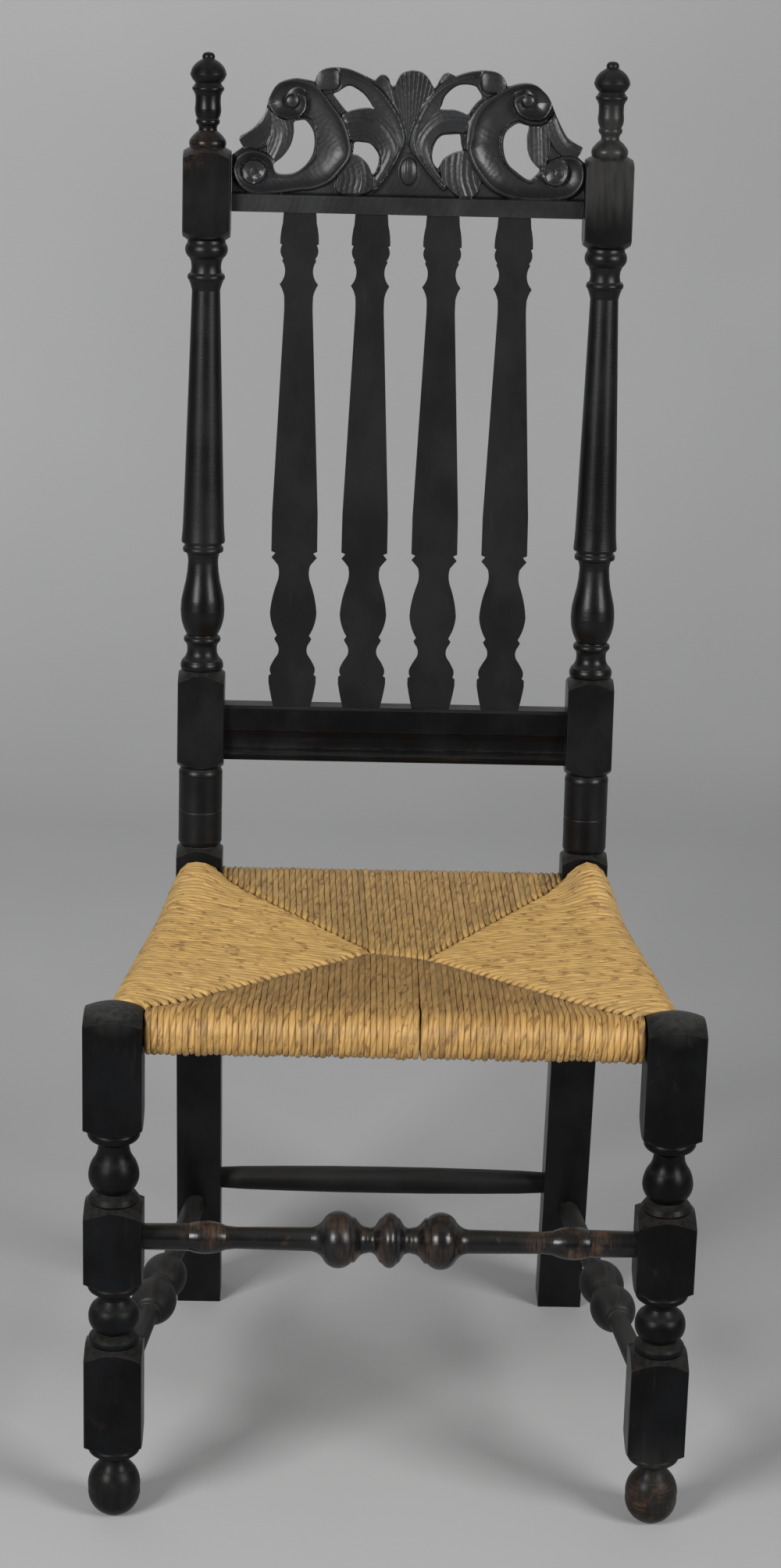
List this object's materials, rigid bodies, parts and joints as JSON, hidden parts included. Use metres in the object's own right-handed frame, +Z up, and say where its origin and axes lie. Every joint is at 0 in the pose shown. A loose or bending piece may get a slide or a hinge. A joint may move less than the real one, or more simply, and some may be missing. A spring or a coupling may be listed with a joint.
{
  "type": "side chair",
  "caption": "Side chair with turned posts and legs, a tall back of split banisters under a pierced carved crest, and a rush seat.",
  "frame": {"origin": "on the floor, in the middle of the chair's width and depth", "axes": "+X to the right as seen from the front, +Y towards the back, +Z up"},
  "size_m": [0.503, 0.4476, 1.1722],
  "materials": {
    "black_frame": "worn black paint over maple, satin",
    "bare_wood": "unfinished hardwood",
    "rush": "twisted rush, dry golden straw",
    "stuffing": "packed rush ends"
  },
  "bodies": {
    "root": {"rear_post_left": "black_frame", "rear_post_right": "black_frame", "front_leg_left": "black_frame", "front_leg_right": "black_frame", "crest_rail": "black_frame", "lower_back_rail": "black_frame", "banister_1": "black_frame", "banister_2": "black_frame", "banister_3": "black_frame", "banister_4": "black_frame", "front_stretcher": "black_frame", "rear_stretcher": "black_frame", "side_stretcher_left": "black_frame", "side_stretcher_right": "black_frame", "front_seat_rail": "bare_wood", "rear_seat_rail": "bare_wood", "side_seat_rail_left": "bare_wood", "side_seat_rail_right": "bare_wood", "crest_pegs": "bare_wood", "lower_rail_pegs": "bare_wood", "rush_seat": "rush", "seat_stuffing": "stuffing"}
  },
  "joints": []
}
